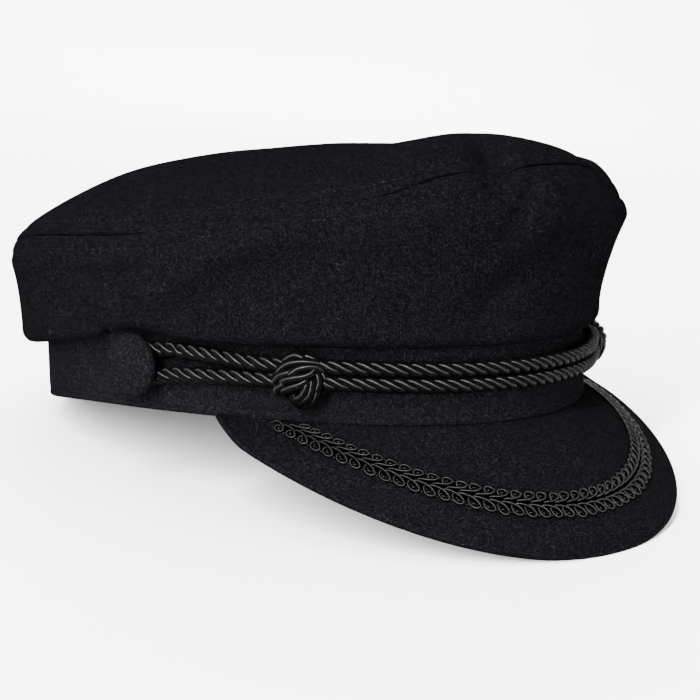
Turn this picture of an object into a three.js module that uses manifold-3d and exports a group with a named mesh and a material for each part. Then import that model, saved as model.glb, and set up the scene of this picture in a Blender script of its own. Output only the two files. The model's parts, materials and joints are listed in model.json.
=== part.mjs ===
// Fisherman cap with a soft crown, a head band, a stiff peak with a braid, and a knotted cord between two buttons.
// Millimetres. Before it is set down, the head's axis is Z, the front is -Y and the wearer's left is +X.
// Every place round the cap is an angle in degrees from the front, positive towards the wearer's right.
import * as THREE from "three";
import Module from "manifold-3d";

const clearance = 0.3;

// Head band
const bandHalfWidth = 87;
const bandHalfLength = 104;
const bandWall = 3;
const bandSideLift = 6.4;
const bandFrontCurve = 2;
const bandBackCurve = 4.4;
const bandCover = 3.5;

// Crown
const crownCloth = 2;
const bandRise = 27;
const overhang = 14.8;
const crownRise = 76.4;
const domeHeight = 86.5;
const domeFullness = 2.5;
const edgeRound = 2.4;
const rollDepth = 4.5;
const bellyCurve = 1.6;
const foldReach = 30;
const foldDepth = 10;

// Peak
const peakRimRadius = 83.8;
const peakRimCentre = 55;
const peakTipDrop = 35.2;
const peakCornerLift = 5.4;
const peakDropCurve = 1.17;
const peakThickness = 3.2;
const peakBulge = 2;
const peakHalfAngle = 94.5;
const peakCornerFrom = 76;
const peakCornerTuck = 5;

// Braid on the peak
const braidWidth = 8.8;
const braidHeight = 1.9;
const braidFromRim = 11.4;
const braidEnd = 3;

// Cord, knots and buttons
const cordRadius = 2.3;
const cordOff = cordRadius + clearance + 0.1;
const knotLift = 1.7;
const knotAngle = 47;
const knotHeight = 13.9;
const knotOut = 5.6;
const knotLobe = 5.8;
const knotInner = 2.1;
const knotDepth = 2.6;
const knotFree = 0.45;
const buttonAngle = 78;
const buttonHeight = 14.2;
const buttonRadius = 10.2;
const buttonDome = 5;
const shankRadius = 2.4;

// How far the soft cloth gives where the cap rests
const restSink = 0.8;

// Crown sections. low: bottom of the overhang, share of bandRise. roll: how far it stands out there, share of
// overhang. wide: the widest place, share of overhang. belly: its height, share of the seam's. edge: how far the tip
// seam stands out, share of overhang. seam: its height, share of crownRise.
const crownSections = [
  { at: -150, low: 0.8, roll: 0.58, wide: 0.76, belly: 0.88, edge: 0.64, seam: 0.725 },
  { at: -125, low: 0.83, roll: 0.57, wide: 0.76, belly: 0.88, edge: 0.66, seam: 0.75 },
  { at: -103, low: 0.94, roll: 0.57, wide: 0.78, belly: 0.88, edge: 0.68, seam: 0.77 },
  { at: -88, low: 1.06, roll: 0.57, wide: 0.8, belly: 0.88, edge: 0.7, seam: 0.775 },
  { at: -82, low: 1.16, roll: 0.57, wide: 0.81, belly: 0.88, edge: 0.7, seam: 0.775 },
  { at: -74, low: 1.16, roll: 0.55, wide: 0.83, belly: 0.88, edge: 0.72, seam: 0.775 },
  { at: -68, low: 1.07, roll: 0.52, wide: 0.85, belly: 0.88, edge: 0.74, seam: 0.775 },
  { at: -58, low: 1.01, roll: 0.46, wide: 0.9, belly: 0.88, edge: 0.78, seam: 0.79 },
  { at: -44, low: 0.99, roll: 0.41, wide: 0.96, belly: 0.93, edge: 0.82, seam: 0.81 },
  { at: -33, low: 0.96, roll: 0.38, wide: 0.99, belly: 0.94, edge: 0.83, seam: 0.84 },
  { at: -22, low: 0.94, roll: 0.37, wide: 1, belly: 0.9, edge: 0.82, seam: 0.9 },
  { at: -14, low: 0.89, roll: 0.37, wide: 1, belly: 0.86, edge: 0.81, seam: 0.974 },
  { at: -6, low: 0.88, roll: 0.38, wide: 1, belly: 0.84, edge: 0.81, seam: 1 },
  { at: 4, low: 0.88, roll: 0.38, wide: 0.99, belly: 0.84, edge: 0.81, seam: 0.998 },
  { at: 12, low: 0.885, roll: 0.39, wide: 0.98, belly: 0.84, edge: 0.81, seam: 0.993 },
  { at: 19, low: 0.9, roll: 0.4, wide: 0.97, belly: 0.84, edge: 0.81, seam: 0.983 },
  { at: 25, low: 0.92, roll: 0.41, wide: 0.95, belly: 0.85, edge: 0.8, seam: 0.957 },
  { at: 31, low: 0.935, roll: 0.42, wide: 0.93, belly: 0.86, edge: 0.79, seam: 0.916 },
  { at: 38, low: 0.955, roll: 0.44, wide: 0.91, belly: 0.87, edge: 0.78, seam: 0.887 },
  { at: 46, low: 0.985, roll: 0.46, wide: 0.89, belly: 0.87, edge: 0.77, seam: 0.875 },
  { at: 56, low: 1.01, roll: 0.49, wide: 0.87, belly: 0.87, edge: 0.76, seam: 0.846 },
  { at: 68, low: 1.07, roll: 0.53, wide: 0.85, belly: 0.88, edge: 0.74, seam: 0.8 },
  { at: 74, low: 1.16, roll: 0.55, wide: 0.83, belly: 0.88, edge: 0.72, seam: 0.79 },
  { at: 82, low: 1.16, roll: 0.57, wide: 0.81, belly: 0.88, edge: 0.7, seam: 0.79 },
  { at: 88, low: 1.05, roll: 0.57, wide: 0.8, belly: 0.88, edge: 0.69, seam: 0.79 },
  { at: 103, low: 0.94, roll: 0.57, wide: 0.77, belly: 0.88, edge: 0.66, seam: 0.788 },
  { at: 125, low: 0.83, roll: 0.57, wide: 0.75, belly: 0.88, edge: 0.63, seam: 0.75 },
  { at: 150, low: 0.8, roll: 0.57, wide: 0.75, belly: 0.88, edge: 0.63, seam: 0.725 },
  { at: 180, low: 0.8, roll: 0.57, wide: 0.75, belly: 0.88, edge: 0.63, seam: 0.713 },
];

// Folds of the soft crown. along: where it lies from the tip seam, up the top panel or, when negative, down the
// side, share of foldReach. round: its half-width round the cap in degrees. long: its half-length, share of foldReach.
// lean: how it turns along its length. sink and tuck: how far it goes down and inwards, shares of foldDepth.
const crownFolds = [
  { name: "front dent", at: 12, along: 0.13, round: 4, long: 0.4, lean: 7.5, sink: 0.5, tuck: 0.25 },
  { name: "crease under the dent", at: 9, along: -0.4, round: 2.6, long: 0.3, lean: 9, sink: 0, tuck: 0.16 },
  { name: "front swell", at: 7, along: 0.7, round: 20, long: 0.57, lean: 0, sink: -0.46, tuck: 0 },
  { name: "left front fullness", at: -37, along: 0.4, round: 17, long: 0.37, lean: 0, sink: -0.75, tuck: -0.36 },
  { name: "pleat behind the right button", at: 91, along: -0.83, round: 3, long: 0.3, lean: 6, sink: 0, tuck: 0.15 },
  { name: "left front notch", at: -17, along: 0.17, round: 5, long: 0.3, lean: 0, sink: 0.16, tuck: 0.1 },
  { name: "left back hollow", at: -128, along: 0.87, round: 20, long: 0.6, lean: 0, sink: 0.16, tuck: 0 },
  { name: "back pleat", at: 158, along: -0.67, round: 4, long: 0.33, lean: -6, sink: 0, tuck: 0.14 },
  { name: "left side pleat", at: -96, along: -0.73, round: 4, long: 0.33, lean: -6, sink: 0, tuck: 0.14 },
];

// Places round the cap at which the cloth is cut into facets: finer at the folds and at the buttons.
const facetSpans = [
  { from: -180, to: -92, parts: 11 },
  { from: -92, to: -68, parts: 6 },
  { from: -68, to: -24, parts: 8 },
  { from: -24, to: 36, parts: 20 },
  { from: 36, to: 68, parts: 6 },
  { from: 68, to: 92, parts: 6 },
  { from: 92, to: 180, parts: 11 },
];

// The cord's two strands, the same on both sides. middle: the height between them above the band's lower edge, share
// of bandRise. open: how far they part, 1 where they touch. off: how far they stand off the band, share of knotLift.
const strandPlaces = [
  { at: 0, middle: 0.557, open: 1, off: 0 },
  { at: 20, middle: 0.557, open: 1, off: 0 },
  { at: 34, middle: 0.561, open: 1, off: 0.12 },
  { at: 40, middle: 0.565, open: 1, off: 0.7 },
  { at: 47, middle: 0.568, open: 1, off: 1 },
  { at: 54, middle: 0.568, open: 1, off: 0.7 },
  { at: 60, middle: 0.563, open: 1.22, off: 0.12 },
  { at: 65, middle: 0.556, open: 1.55, off: 0 },
  { at: 70, middle: 0.543, open: 1.82, off: 0 },
];

const rad = Math.PI / 180;
const lerp = (a, b, share) => a + (b - a) * share;

// A point at an angle round the cap, a distance out from the band's face, and a height.
function around(angle, out, z) {
  const x = -(bandHalfWidth + out) * Math.sin(angle * rad);
  const y = -(bandHalfLength + out) * Math.cos(angle * rad);
  return new THREE.Vector3(x, y, z);
}

// The outward direction of the band's face at an angle.
function outward(angle) {
  const x = -bandHalfLength * Math.sin(angle * rad);
  const y = -bandHalfWidth * Math.cos(angle * rad);
  return new THREE.Vector3(x, y, 0).normalize();
}

function bandLow(angle) {
  const curve = Math.cos(angle * rad) < 0 ? bandBackCurve : bandFrontCurve;
  return bandSideLift * Math.abs(Math.sin(angle * rad)) ** curve;
}

// A value of a table's column at an angle, smooth between its rows. A ring table repeats after 360 degrees.
function column(rows, name, angle, ring) {
  const count = rows.length;
  const row = (i) => (ring ? rows[((i % count) + count) % count] : rows[Math.min(Math.max(i, 0), count - 1)]);
  const turn = (i) => (ring ? 360 * Math.floor(i / count) : 0);
  let at = angle;
  if (ring) {
    at = angle - 360 * Math.floor((angle - rows[0].at) / 360);
  }
  let i = rows.findIndex((r) => r.at > at) - 1;
  if (i < 0) {
    i = at < rows[0].at ? 0 : count - 1;
  }
  const place = (k) => row(k).at + turn(k);
  const slope = (k) => {
    const run = place(k + 1) - place(k - 1);
    return run ? (row(k + 1)[name] - row(k - 1)[name]) / run : 0;
  };
  const run = place(i + 1) - place(i);
  if (!(run > 0)) {
    return row(i)[name];
  }
  const u = Math.min(Math.max((at - place(i)) / run, 0), 1);
  const a = row(i)[name];
  const b = row(i + 1)[name];
  const rise = slope(i) * run;
  const fall = slope(i + 1) * run;
  return a + u * rise + u * u * (3 * (b - a) - 2 * rise - fall) + u * u * u * (rise + fall - 2 * (b - a));
}

// How far the folds sink and tuck a place of the crown.
function folded(angle, along) {
  let sink = 0;
  let tuck = 0;
  for (const f of crownFolds) {
    const past = along / foldReach - f.along;
    let turn = angle - f.at + f.lean * past;
    turn -= 360 * Math.round(turn / 360);
    const depth = foldDepth * Math.exp(-((turn / f.round) ** 2) - (past / f.long) ** 2);
    sink += f.sink * depth;
    tuck += f.tuck * depth;
  }
  return { sink, tuck };
}

function crownAt(angle) {
  const value = (name) => column(crownSections, name, angle, true);
  const seamZ = value("seam") * crownRise;
  return {
    low: value("low") * bandRise,
    roll: value("roll") * overhang,
    wide: value("wide") * overhang,
    wideZ: value("belly") * seamZ,
    seamOut: value("edge") * overhang,
    seamZ,
  };
}

const bandTop = (angle) => crownAt(angle).low + bandCover;

// A solid from closed rings of points, one per section. The last section joins the first, or both ends are capped.
function skin(rings, closed) {
  const size = rings[0].length;
  const points = rings.flat();
  const faces = [];
  const id = (i, j) => (i % rings.length) * size + (j % size);
  const spans = closed ? rings.length : rings.length - 1;
  for (let i = 0; i < spans; i++) {
    for (let j = 0; j < size; j++) {
      faces.push(id(i, j), id(i + 1, j), id(i + 1, j + 1));
      faces.push(id(i, j), id(i + 1, j + 1), id(i, j + 1));
    }
  }
  if (!closed) {
    for (const [i, turned] of [[0, false], [rings.length - 1, true]]) {
      const middle = new THREE.Vector3();
      rings[i].forEach((p) => middle.add(p));
      points.push(middle.divideScalar(size));
      for (let j = 0; j < size; j++) {
        const pair = [id(i, j), id(i, j + 1)];
        faces.push(points.length - 1, ...(turned ? pair.reverse() : pair));
      }
    }
  }
  return solid(points, faces);
}

// A mesh geometry from points and faces, turned to face outwards.
function solid(points, faces) {
  let volume = 0;
  for (let i = 0; i < faces.length; i += 3) {
    const [a, b, c] = [points[faces[i]], points[faces[i + 1]], points[faces[i + 2]]];
    volume += a.dot(new THREE.Vector3().crossVectors(b, c));
  }
  const index = volume < 0 ? faces.slice().reverse() : faces;
  const geometry = new THREE.BufferGeometry();
  geometry.setAttribute("position", new THREE.Float32BufferAttribute(points.flatMap((p) => p.toArray()), 3));
  geometry.setIndex(index);
  return geometry;
}

const facetAngles = facetSpans.flatMap((span) =>
  Array.from({ length: span.parts }, (_, i) => lerp(span.from, span.to, i / span.parts)),
);

function bandGeometry() {
  const rings = facetAngles.map((angle) => {
    const low = bandLow(angle);
    const top = bandTop(angle);
    return [
      around(angle, 0, low),
      around(angle, 0, lerp(low, top, 0.5)),
      around(angle, 0, top),
      around(angle, -bandWall, top),
      around(angle, -bandWall, low),
    ];
  });
  return skin(rings, true);
}

// The side cloth's middle line at an angle, from the tip seam down round the overhang and in over the band's top.
function sideLine(angle) {
  const c = crownAt(angle);
  const half = crownCloth / 2;
  const rollZ = c.low + rollDepth;
  const top = bandTop(angle) + clearance + half;
  const turnIn = clearance + half + 0.2;
  const under = Math.max(c.roll - 3.2, turnIn + 0.6);
  const line = [
    [c.seamOut - half, c.seamZ],
    [lerp(c.wide, c.seamOut, 0.35) - half, lerp(c.wideZ, c.seamZ, 0.55)],
    [c.wide - half, c.wideZ],
  ];
  for (const share of [0.78, 0.55, 0.32, 0.12]) {
    line.push([lerp(c.roll, c.wide, share ** bellyCurve) - half, lerp(rollZ, c.wideZ, share)]);
  }
  const creased = line.map(([out, z]) => {
    const fold = folded(angle, z - c.seamZ);
    return [out - fold.tuck, z - fold.sink];
  });
  const plain = [
    [c.roll - half, rollZ - 1],
    [c.roll - half - 0.8, c.low + half + 0.9],
    [under, c.low + half],
    [lerp(under, turnIn, 0.7), lerp(c.low + half, top, 0.4)],
    [turnIn, top],
    [0.2 - bandWall, top],
  ];
  return [...creased, ...plain];
}

// Both faces of a cloth about its middle line, in a section of the crown.
function clothSection(angle, line) {
  const half = crownCloth / 2;
  const outer = [];
  const inner = [];
  line.forEach(([out, z], i) => {
    const [fromOut, fromZ] = line[Math.max(i - 1, 0)];
    const [toOut, toZ] = line[Math.min(i + 1, line.length - 1)];
    const face = new THREE.Vector2(fromZ - toZ, toOut - fromOut).normalize();
    if (i === 0) {
      face.set(1, 0);
    }
    outer.push(around(angle, out + face.x * half, z + face.y * half));
    inner.push(around(angle, out - face.x * half, z - face.y * half));
  });
  return [...outer, ...inner.reverse()];
}

const crownSideGeometry = () => skin(facetAngles.map((angle) => clothSection(angle, sideLine(angle))), true);

// The top panel's middle surface: share 0 is the seam and 1 the centre.
function tipPoint(angle, share) {
  const c = crownAt(angle);
  const start = c.seamZ + clearance;
  const out = c.seamOut - crownCloth / 2;
  const width = Math.hypot((bandHalfWidth + out) * Math.sin(angle * rad), (bandHalfLength + out) * Math.cos(angle * rad));
  const fold = folded(angle, share * width);
  const fade = 1 - share ** 4;
  const edge = edgeRound * (1 - Math.exp(-share / 0.025)) * (1 - share);
  const dome = (domeHeight - start) * (1 - (1 - share) ** domeFullness);
  const p = around(angle, out - fold.tuck * fade * (1 - share), 0).multiplyScalar(1 - share);
  p.z = start + dome + edge - fold.sink * fade;
  return p;
}

function crownTipGeometry() {
  const shares = [0, 0.02, 0.055, 0.11, 0.19, 0.3, 0.45, 0.63, 0.82];
  const half = crownCloth / 2;
  const step = 0.004;
  const faceAt = (angle, share) => {
    if (share === 0) {
      return around(angle, 1, 0).sub(around(angle, 0, 0));
    }
    const inwards = tipPoint(angle, share + step).sub(tipPoint(angle, share - step));
    const round = tipPoint(angle + 0.5, share).sub(tipPoint(angle - 0.5, share));
    const face = inwards.cross(round).normalize();
    return face.z < 0 ? face.negate() : face;
  };
  const points = [];
  const faces = [];
  const count = facetAngles.length;
  for (const side of [1, -1]) {
    for (const share of shares) {
      for (const angle of facetAngles) {
        points.push(tipPoint(angle, share).addScaledVector(faceAt(angle, share), side * half));
      }
    }
    points.push(new THREE.Vector3(0, 0, domeHeight + side * half));
  }
  const layer = shares.length * count + 1;
  for (const side of [0, 1]) {
    const id = (i, j) => side * layer + i * count + (j % count);
    const put = (a, b, c) => faces.push(...(side ? [a, c, b] : [a, b, c]));
    for (let j = 0; j < count; j++) {
      for (let i = 0; i + 1 < shares.length; i++) {
        put(id(i, j), id(i, j + 1), id(i + 1, j + 1));
        put(id(i, j), id(i + 1, j + 1), id(i + 1, j));
      }
      put(id(shares.length - 1, j), id(shares.length - 1, j + 1), side * layer + layer - 1);
    }
  }
  for (let j = 0; j < count; j++) {
    const next = (j + 1) % count;
    faces.push(j, layer + j, layer + next);
    faces.push(j, layer + next, next);
  }
  return solid(points, faces);
}

// The peak's rim at an angle round its own centre.
function rimPoint(angle) {
  const turned = Math.max(0, (Math.abs(angle) - peakCornerFrom) / (peakHalfAngle - peakCornerFrom));
  const radius = peakRimRadius - peakCornerTuck * turned ** 3;
  const x = -radius * Math.sin(angle * rad);
  const y = -peakRimCentre - radius * Math.cos(angle * rad);
  const corner = -peakRimCentre - peakRimRadius * Math.cos(peakHalfAngle * rad);
  const tip = -peakRimCentre - peakRimRadius;
  const share = Math.max(0, (corner - y) / (corner - tip));
  return new THREE.Vector3(x, y, peakCornerLift - (peakTipDrop + peakCornerLift) * share ** peakDropCurve);
}

// Distance in plan from the rim, square to it, to the band's face.
function peakReach(angle) {
  const rim = rimPoint(angle);
  const dx = Math.sin(angle * rad);
  const dy = Math.cos(angle * rad);
  const a = (dx / bandHalfWidth) ** 2 + (dy / bandHalfLength) ** 2;
  const b = (rim.x * dx) / bandHalfWidth ** 2 + (rim.y * dy) / bandHalfLength ** 2;
  const c = (rim.x / bandHalfWidth) ** 2 + (rim.y / bandHalfLength) ** 2 - 1;
  return (-b - Math.sqrt(b * b - a * c)) / a;
}

// The peak's upper face: share 0 is the rim, and 1 the band's lower edge.
function peakPoint(angle, share) {
  const rim = rimPoint(angle);
  const reach = peakReach(angle);
  const inner = new THREE.Vector3(rim.x + reach * Math.sin(angle * rad), rim.y + reach * Math.cos(angle * rad), 0);
  inner.z = bandLow(bandAngle(inner)) - clearance;
  const bulge = peakBulge * 4 * share * (1 - share) * Math.cos(angle * rad * 0.9) ** 2;
  return rim.lerp(inner, share).add(new THREE.Vector3(0, 0, bulge));
}

const bandAngle = (p) => Math.atan2(-p.x / bandHalfWidth, -p.y / bandHalfLength) / rad;

function peakFace(angle, share) {
  const across = peakPoint(angle, share + 0.01).sub(peakPoint(angle, share - 0.01));
  const along = peakPoint(angle + 0.5, share).sub(peakPoint(angle - 0.5, share));
  const face = across.cross(along).normalize();
  return face.z < 0 ? face.negate() : face;
}

function peakGeometry() {
  const half = 16;
  const rings = [];
  for (let i = -half; i <= half; i++) {
    const angle = (peakHalfAngle * i) / half;
    const thick = peakThickness * (1 - 0.5 * Math.abs(i / half) ** 4);
    const upper = [1, 0.85, 0.65, 0.45, 0.25, 0.08, 0.02].map((share) => peakPoint(angle, share));
    const lower = [0.02, 0.08, 0.25, 0.45, 0.65, 0.85].map((share) =>
      peakPoint(angle, share).addScaledVector(peakFace(angle, share), -thick),
    );
    const out = new THREE.Vector3(-Math.sin(angle * rad), -Math.cos(angle * rad), 0);
    const edge = [0.3, 0.7].map((share) =>
      peakPoint(angle, 0).addScaledVector(peakFace(angle, 0), -thick * share).addScaledVector(out, thick * 0.12),
    );
    const under = around(bandAngle(upper[0]), -bandWall, upper[0].z);
    const root = under.clone();
    root.z -= 0.6 * thick;
    rings.push([...upper, ...edge, ...lower, root, under]);
  }
  return skin(rings, false);
}

const peakLength = (angle) => peakPoint(angle, 0).distanceTo(peakPoint(angle, 1));

// The braid lies on the peak, and each end runs in to the band where only a strip braidEnd wide is left for it.
function braidGeometry() {
  let reach = 0;
  while (peakLength(reach + 0.5) > braidFromRim + braidEnd) {
    reach += 0.5;
  }
  const half = 13;
  const rings = [];
  for (let i = -half; i <= half; i++) {
    const angle = (reach * i) / half;
    const length = peakLength(angle);
    const from = braidFromRim / length;
    const to = Math.min((braidFromRim + braidWidth) / length, 1 - 1 / length);
    const place = (across, height) => {
      const share = lerp(from, to, across);
      return peakPoint(angle, share).addScaledVector(peakFace(angle, share), clearance + height);
    };
    rings.push([
      place(0, 0),
      place(0.5, 0),
      place(1, 0),
      place(1, 0.6 * braidHeight),
      place(0.75, braidHeight),
      place(0.25, braidHeight),
      place(0, 0.6 * braidHeight),
    ]);
  }
  return skin(rings, false);
}

// A round tube through points, closed on itself.
function loopTube(points, radius, sides) {
  const count = points.length;
  const tangents = points.map((_, i) =>
    points[(i + 1) % count].clone().sub(points[(i + count - 1) % count]).normalize(),
  );
  const across = [new THREE.Vector3(0, 0, 1)];
  across[0].addScaledVector(tangents[0], -across[0].dot(tangents[0])).normalize();
  for (let i = 1; i <= count; i++) {
    const turn = new THREE.Quaternion().setFromUnitVectors(tangents[i - 1], tangents[i % count]);
    across.push(across[i - 1].clone().applyQuaternion(turn));
  }
  const last = new THREE.Vector3().crossVectors(across[0], across[count]).dot(tangents[0]);
  const twist = Math.atan2(last, across[0].dot(across[count]));
  const rings = points.map((p, i) => {
    const first = across[i].clone().applyAxisAngle(tangents[i], (-twist * i) / count);
    return Array.from({ length: sides }, (_, j) =>
      first.clone().applyAxisAngle(tangents[i], (2 * Math.PI * j) / sides).multiplyScalar(radius).add(p),
    );
  });
  return skin(rings, true);
}

// The centre of one strand of the cord at an angle.
function strandPoint(angle, side) {
  const value = (name) => column(strandPlaces, name, Math.abs(angle), false);
  const apart = side * value("open") * (cordRadius + clearance / 2);
  const base = around(angle, 0, bandLow(angle) + value("middle") * bandRise + apart);
  return base.addScaledVector(outward(angle), cordOff + value("off") * knotLift);
}

// The local frame of a place on the band's face: towards the front, up, and outwards.
function facePlace(angle, height, out) {
  const face = outward(angle);
  const up = new THREE.Vector3(0, 0, 1);
  const front = new THREE.Vector3().crossVectors(up, face).multiplyScalar(Math.sign(angle));
  const centre = around(angle, 0, bandLow(angle) + height).addScaledVector(face, out);
  return { centre, front, up, face };
}

function placed(place, a, b, c) {
  return place.centre
    .clone()
    .addScaledVector(place.front, a)
    .addScaledVector(place.up, b)
    .addScaledVector(place.face, c);
}

function cordPoints() {
  const last = strandPlaces[strandPlaces.length - 1].at;
  const steps = 32;
  const strand = (side) => Array.from({ length: steps + 1 }, (_, i) => strandPoint(lerp(last, -last, i / steps), side));
  const loop = (side) => {
    const place = facePlace(side * buttonAngle, buttonHeight, cordOff);
    const radius = shankRadius + clearance + cordRadius;
    return [62, 92, 122, 152, 180, 208, 238, 268, 298].map((turn) =>
      placed(place, radius * Math.cos(turn * rad), radius * Math.sin(turn * rad), 0),
    );
  };
  const upper = strand(1);
  const lower = strand(-1).reverse();
  return [...upper, ...loop(-1), ...lower, ...loop(1).reverse()];
}

const wasm = await Module();
wasm.setup();

// A manifold-3d solid from a mesh geometry, and back.
function toManifold(geometry) {
  const vertProperties = Float32Array.from(geometry.getAttribute("position").array);
  const triVerts = Uint32Array.from(geometry.index.array);
  return new wasm.Manifold(new wasm.Mesh({ numProp: 3, vertProperties, triVerts }));
}

function fromManifold(made) {
  const mesh = made.getMesh();
  const geometry = new THREE.BufferGeometry();
  geometry.setAttribute("position", new THREE.Float32BufferAttribute(Array.from(mesh.vertProperties), 3));
  geometry.setIndex(Array.from(mesh.triVerts));
  return geometry;
}

// A knot: a three-lobed turn of the cord round a core, with a way through for the two strands.
function knotGeometry(side) {
  const place = facePlace(side * knotAngle, knotHeight, knotOut);
  const turns = [];
  const steps = 48;
  for (let i = 0; i < steps; i++) {
    const turn = (4 * Math.PI * i) / steps;
    const radius = lerp(knotInner, knotLobe, 0.5 + 0.5 * Math.cos(1.5 * turn));
    const lean = turn + Math.PI / 6;
    turns.push(placed(place, radius * Math.cos(lean), radius * Math.sin(lean), knotDepth * Math.sin(1.5 * turn)));
  }
  const core = [-5.6, -3, 0, 3, 5.6].map((a) => {
    const share = Math.sqrt(1 - (a / 11) ** 2);
    return Array.from({ length: 10 }, (_, j) => {
      const turn = (2 * Math.PI * j) / 10;
      return placed(place, a, 0.6 + 6.6 * share * Math.sin(turn), 4.7 * share * Math.cos(turn));
    });
  });
  const ways = [1, -1].map((strand) => {
    const rings = [];
    for (let i = -5; i <= 5; i++) {
      const angle = side * (knotAngle + 2 * i);
      const centre = strandPoint(angle, strand);
      rings.push(
        Array.from({ length: 12 }, (_, j) => {
          const turn = (2 * Math.PI * j) / 12;
          return centre
            .clone()
            .addScaledVector(place.up, (cordRadius + knotFree) * Math.sin(turn))
            .addScaledVector(place.face, (cordRadius + knotFree) * Math.cos(turn));
        }),
      );
    }
    return toManifold(skin(rings, false));
  });
  const bulk = toManifold(loopTube(turns, cordRadius, 6)).add(toManifold(skin(core, false)));
  const cut = bulk.subtract(ways[0]).subtract(ways[1]);
  const back = placed(place, 0, 0, clearance + 0.2 - knotOut);
  return fromManifold(cut.trimByPlane(place.face.toArray(), back.dot(place.face)));
}

function buttonGeometry(side) {
  const place = facePlace(side * buttonAngle, buttonHeight, 0);
  const base = 2 * cordRadius + 0.9;
  const profile = [
    [0, clearance],
    [shankRadius, clearance],
    [shankRadius, base],
    [0.88 * buttonRadius, base],
    [buttonRadius, base + 0.22 * buttonDome],
    [0.95 * buttonRadius, base + 0.5 * buttonDome],
    [0.76 * buttonRadius, base + 0.78 * buttonDome],
    [0.45 * buttonRadius, base + 0.95 * buttonDome],
    [0, base + buttonDome],
  ];
  const geometry = new THREE.LatheGeometry(profile.map(([r, z]) => new THREE.Vector2(r, z)), 20);
  const turn = new THREE.Matrix4().makeBasis(
    new THREE.Vector3().crossVectors(place.face, place.up),
    place.face,
    place.up,
  );
  return geometry.applyMatrix4(turn.setPosition(place.centre));
}

// The cap rests on the tip of its peak and the back of its band: the pitch at which both reach the floor.
function restPitch(front, back) {
  const lowest = (geometry, pitch) => {
    const at = geometry.getAttribute("position");
    let low = Infinity;
    for (let i = 0; i < at.count; i++) {
      low = Math.min(low, at.getZ(i) * Math.cos(pitch) - at.getY(i) * Math.sin(pitch));
    }
    return low;
  };
  let less = 0;
  let more = 0.5;
  for (let i = 0; i < 40; i++) {
    const pitch = (less + more) / 2;
    if (lowest(front, pitch) < lowest(back, pitch)) {
      less = pitch;
    } else {
      more = pitch;
    }
  }
  return { pitch: less, low: lowest(back, less) };
}

const wool = new THREE.MeshStandardMaterial({ color: "#17181c", roughness: 0.95 });
const satin = new THREE.MeshStandardMaterial({ color: "#0c0d0e", roughness: 0.35 });

const pieces = [
  { name: "crown_tip", geometry: crownTipGeometry(), material: wool },
  { name: "crown_side", geometry: crownSideGeometry(), material: wool },
  { name: "band", geometry: bandGeometry(), material: wool },
  { name: "peak", geometry: peakGeometry(), material: wool },
  { name: "peak_braid", geometry: braidGeometry(), material: satin },
  { name: "cord_loop", geometry: loopTube(cordPoints(), cordRadius, 6), material: satin },
  { name: "knot_right", geometry: knotGeometry(1), material: satin },
  { name: "knot_left", geometry: knotGeometry(-1), material: satin },
  { name: "button_right", geometry: buttonGeometry(1), material: wool },
  { name: "button_left", geometry: buttonGeometry(-1), material: wool },
];

const geometryOf = (name) => pieces.find((piece) => piece.name === name).geometry;
const rest = restPitch(geometryOf("peak"), geometryOf("band"));
const setDown = new THREE.Matrix4()
  .makeTranslation(0, 0, -rest.low - restSink)
  .multiply(new THREE.Matrix4().makeRotationX(-rest.pitch));

for (const { geometry } of pieces) {
  geometry.applyMatrix4(setDown);
  const at = geometry.getAttribute("position");
  for (let i = 0; i < at.count; i++) {
    at.setZ(i, Math.max(at.getZ(i), 0));
  }
  geometry.computeVertexNormals();
}

const group = new THREE.Group();
for (const { name, geometry, material } of pieces) {
  const mesh = new THREE.Mesh(geometry, material);
  mesh.name = name;
  group.add(mesh);
}
const middle = new THREE.Box3().setFromObject(group).getCenter(new THREE.Vector3());
for (const { geometry } of pieces) {
  geometry.translate(-middle.x, -middle.y, 0);
}

export default group;
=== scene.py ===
"""Fisherman cap of black fulled wool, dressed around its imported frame.

While a shape is made, lengths are millimetres in the frame of the head: Z is the head's axis, the front is -Y
and the wearer's left is +X. settled() turns such points into the row frame, in metres. Every place round the
cap is an angle in degrees from the front, positive towards the wearer's right.
"""

import json

import bpy
import numpy as np
from mathutils import Matrix

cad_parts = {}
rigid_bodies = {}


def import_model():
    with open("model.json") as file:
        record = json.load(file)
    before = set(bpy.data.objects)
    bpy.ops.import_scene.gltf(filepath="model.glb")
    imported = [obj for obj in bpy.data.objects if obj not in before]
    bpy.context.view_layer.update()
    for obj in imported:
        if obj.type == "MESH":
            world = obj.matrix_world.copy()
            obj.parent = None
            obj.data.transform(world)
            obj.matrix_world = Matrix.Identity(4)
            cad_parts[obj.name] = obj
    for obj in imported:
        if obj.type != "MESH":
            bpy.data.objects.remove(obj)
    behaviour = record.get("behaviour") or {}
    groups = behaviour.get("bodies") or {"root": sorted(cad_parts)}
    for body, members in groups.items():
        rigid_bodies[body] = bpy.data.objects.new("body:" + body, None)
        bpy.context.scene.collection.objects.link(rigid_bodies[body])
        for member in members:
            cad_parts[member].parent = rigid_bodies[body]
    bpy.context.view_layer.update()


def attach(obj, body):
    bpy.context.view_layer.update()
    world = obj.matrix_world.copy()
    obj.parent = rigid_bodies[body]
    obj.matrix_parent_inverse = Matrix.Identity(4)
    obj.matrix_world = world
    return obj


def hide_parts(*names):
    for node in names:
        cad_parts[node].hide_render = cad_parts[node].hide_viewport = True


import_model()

MM = 0.001
CLEARANCE = 0.3

# Head band
BAND_HALF_WIDTH = 87
BAND_HALF_LENGTH = 104
BAND_WALL = 3
BAND_SIDE_LIFT = 6.4
BAND_FRONT_CURVE = 2
BAND_BACK_CURVE = 4.4
BAND_COVER = 3.5

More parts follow.
